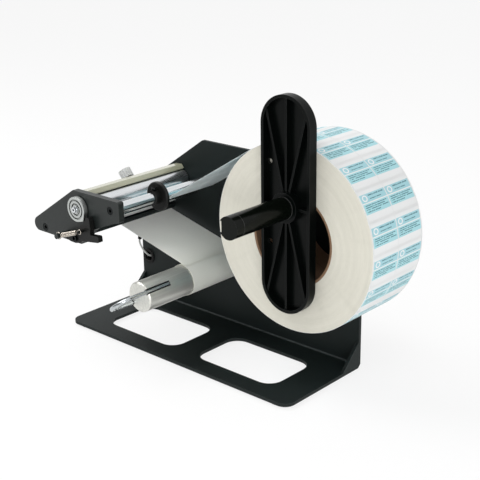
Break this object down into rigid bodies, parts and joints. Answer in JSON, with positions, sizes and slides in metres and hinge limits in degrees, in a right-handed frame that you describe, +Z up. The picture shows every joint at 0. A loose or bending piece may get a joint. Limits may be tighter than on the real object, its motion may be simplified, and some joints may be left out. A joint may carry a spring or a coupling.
{
  "type": "label peeling machine",
  "caption": "Table-top label peeling machine: bent steel frame, peeling head with guide bars and roller, motor driven rewind mandrel and a spindle with a label roll.",
  "frame": {"origin": "middle of the machine's box, at the underside of its feet", "axes": "+X along the base from the peeling edge to the roll, +Y from the front edge to the panel, +Z up"},
  "size_m": [0.3402, 0.2154, 0.256],
  "materials": {
    "black_steel": "blackened steel screws",
    "black_paint": "fine textured black powder coat",
    "plate_grey": "matte dark grey coat",
    "rubber": "matte",
    "chrome": "polished",
    "steel": "bright zinc plated",
    "aluminium": "turned",
    "bronze": "sintered bronze",
    "brass": "plain",
    "cream_plastic": "satin",
    "black_plastic": "satin moulded",
    "white_plastic": "translucent nylon",
    "gear_plastic": "plain acetal",
    "lens_red": "dark red window",
    "cable_grey": "satin PVC",
    "web_paper": "semi gloss",
    "liner_paper": "satin",
    "label_paper": "wound edge",
    "cardboard": "plain",
    "motor_steel": "plain",
    "board_green": "solder mask"
  },
  "bodies": {
    "frame": {"main_frame": "black_paint", "corner_gussets": "black_paint", "rubber_feet": "rubber", "front_plate": "plate_grey", "upper_guide_bar": "chrome", "lower_guide_rod": "chrome", "tip_rod": "steel", "sensor_rod": "steel", "plate_screws": "black_steel", "panel_screws": "black_steel", "roller_bushes": "bronze", "stripper_bar": "cream_plastic", "peel_plate": "black_paint", "liner_guide": "black_paint", "label_web": "web_paper", "liner_strip": "liner_paper", "spindle_tube": "black_plastic", "spindle_cap": "black_plastic", "spindle_collar": "black_plastic", "spindle_screw": "steel", "cable_grommet": "rubber", "cable_sleeve": "rubber", "sensor_cable": "cable_grey", "spring_post": "plate_grey", "pivot_screw": "black_steel", "motor_bracket": "steel", "gearbox": "aluminium", "drive_motor": "motor_steel", "motor_screws": "steel", "mandrel_bearing": "steel", "circuit_board": "board_green", "standoffs": "brass", "board_parts": "black_plastic", "rear_cover": "black_paint", "cover_screws": "black_steel", "dc_inlet": "black_plastic", "switch_body": "black_plastic", "speed_pot": "motor_steel", "lever_spring": "chrome"},
    "roller": {"pressure_roller": "chrome", "roller_shaft": "steel", "roller_disc": "aluminium", "disc_screw": "steel"},
    "guide": {"edge_guide": "black_plastic", "guide_screw": "black_steel"},
    "sensor": {"sensor_block": "black_plastic", "sensor_lens": "lens_red"},
    "clamp": {"clamp_knob": "white_plastic"},
    "lever": {"release_lever": "black_plastic"},
    "mandrel": {"rewind_mandrel": "aluminium", "mandrel_shaft": "steel", "wound_liner": "liner_paper", "rewind_gear": "gear_plastic"},
    "clip": {"liner_clip": "chrome"},
    "pinion": {"motor_pinion": "brass"},
    "roll": {"roll_core": "cardboard", "label_roll": "label_paper"},
    "flange": {"paddle_flange": "black_plastic"},
    "rocker": {"power_rocker": "black_plastic"},
    "dial": {"speed_knob": "black_plastic"}
  },
  "joints": [
    {"name": "roller_spin", "type": "hinge", "parent": "frame", "child": "roller", "pos_m": [-0.10245, -0.01787, 0.1386], "axis": [0, 1, 0], "continuous": true},
    {"name": "guide_slide", "type": "slide", "parent": "frame", "child": "guide", "axis": [0, 1, 0], "range_m": [-0.03, 0]},
    {"name": "sensor_slide", "type": "slide", "parent": "frame", "child": "sensor", "axis": [0, 1, 0], "range_m": [-0.035, 0.03], "deforming": ["sensor_cable"]},
    {"name": "clamp_turn", "type": "hinge", "parent": "sensor", "child": "clamp", "pos_m": [-0.11975, -0.00588, 0.141], "axis": [-0.6157, 0, 0.788], "range_deg": [0, 180]},
    {"name": "lever_pivot", "type": "hinge", "parent": "frame", "child": "lever", "pos_m": [-0.10435, -0.08588, 0.112], "axis": [0, 1, 0], "range_deg": [0, 22], "stiffness_Nm_per_rad": 0.05, "springref_deg": -17.19, "deforming": ["lever_spring"]},
    {"name": "mandrel_spin", "type": "hinge", "parent": "frame", "child": "mandrel", "pos_m": [-0.03645, -0.01787, 0.0696], "axis": [0, 1, 0], "continuous": true},
    {"name": "pinion_spin", "type": "hinge", "parent": "frame", "child": "pinion", "pos_m": [-0.00887, 0.05412, 0.0696], "axis": [0, 1, 0], "continuous": true},
    {"name": "clip_slide", "type": "slide", "parent": "mandrel", "child": "clip", "axis": [0, -1, 0], "range_m": [0, 0.04]},
    {"name": "roll_spin", "type": "hinge", "parent": "frame", "child": "roll", "pos_m": [0.09085, 0.00932, 0.13755], "axis": [0, 1, 0], "continuous": true},
    {"name": "flange_slide", "type": "slide", "parent": "frame", "child": "flange", "axis": [0, -1, 0], "range_m": [0, 0.06]},
    {"name": "power_rock", "type": "hinge", "parent": "frame", "child": "rocker", "pos_m": [0.02905, 0.09273, 0.079], "axis": [1, 0, 0], "range_deg": [-18, 0]},
    {"name": "speed_turn", "type": "hinge", "parent": "frame", "child": "dial", "pos_m": [0.05505, 0.09913, 0.079], "axis": [0, 1, 0], "range_deg": [0, 270]}
  ],
  "couplings": [
    {"joint": "pinion_spin", "follows": "mandrel_spin", "ratio": -2.6667}
  ]
}
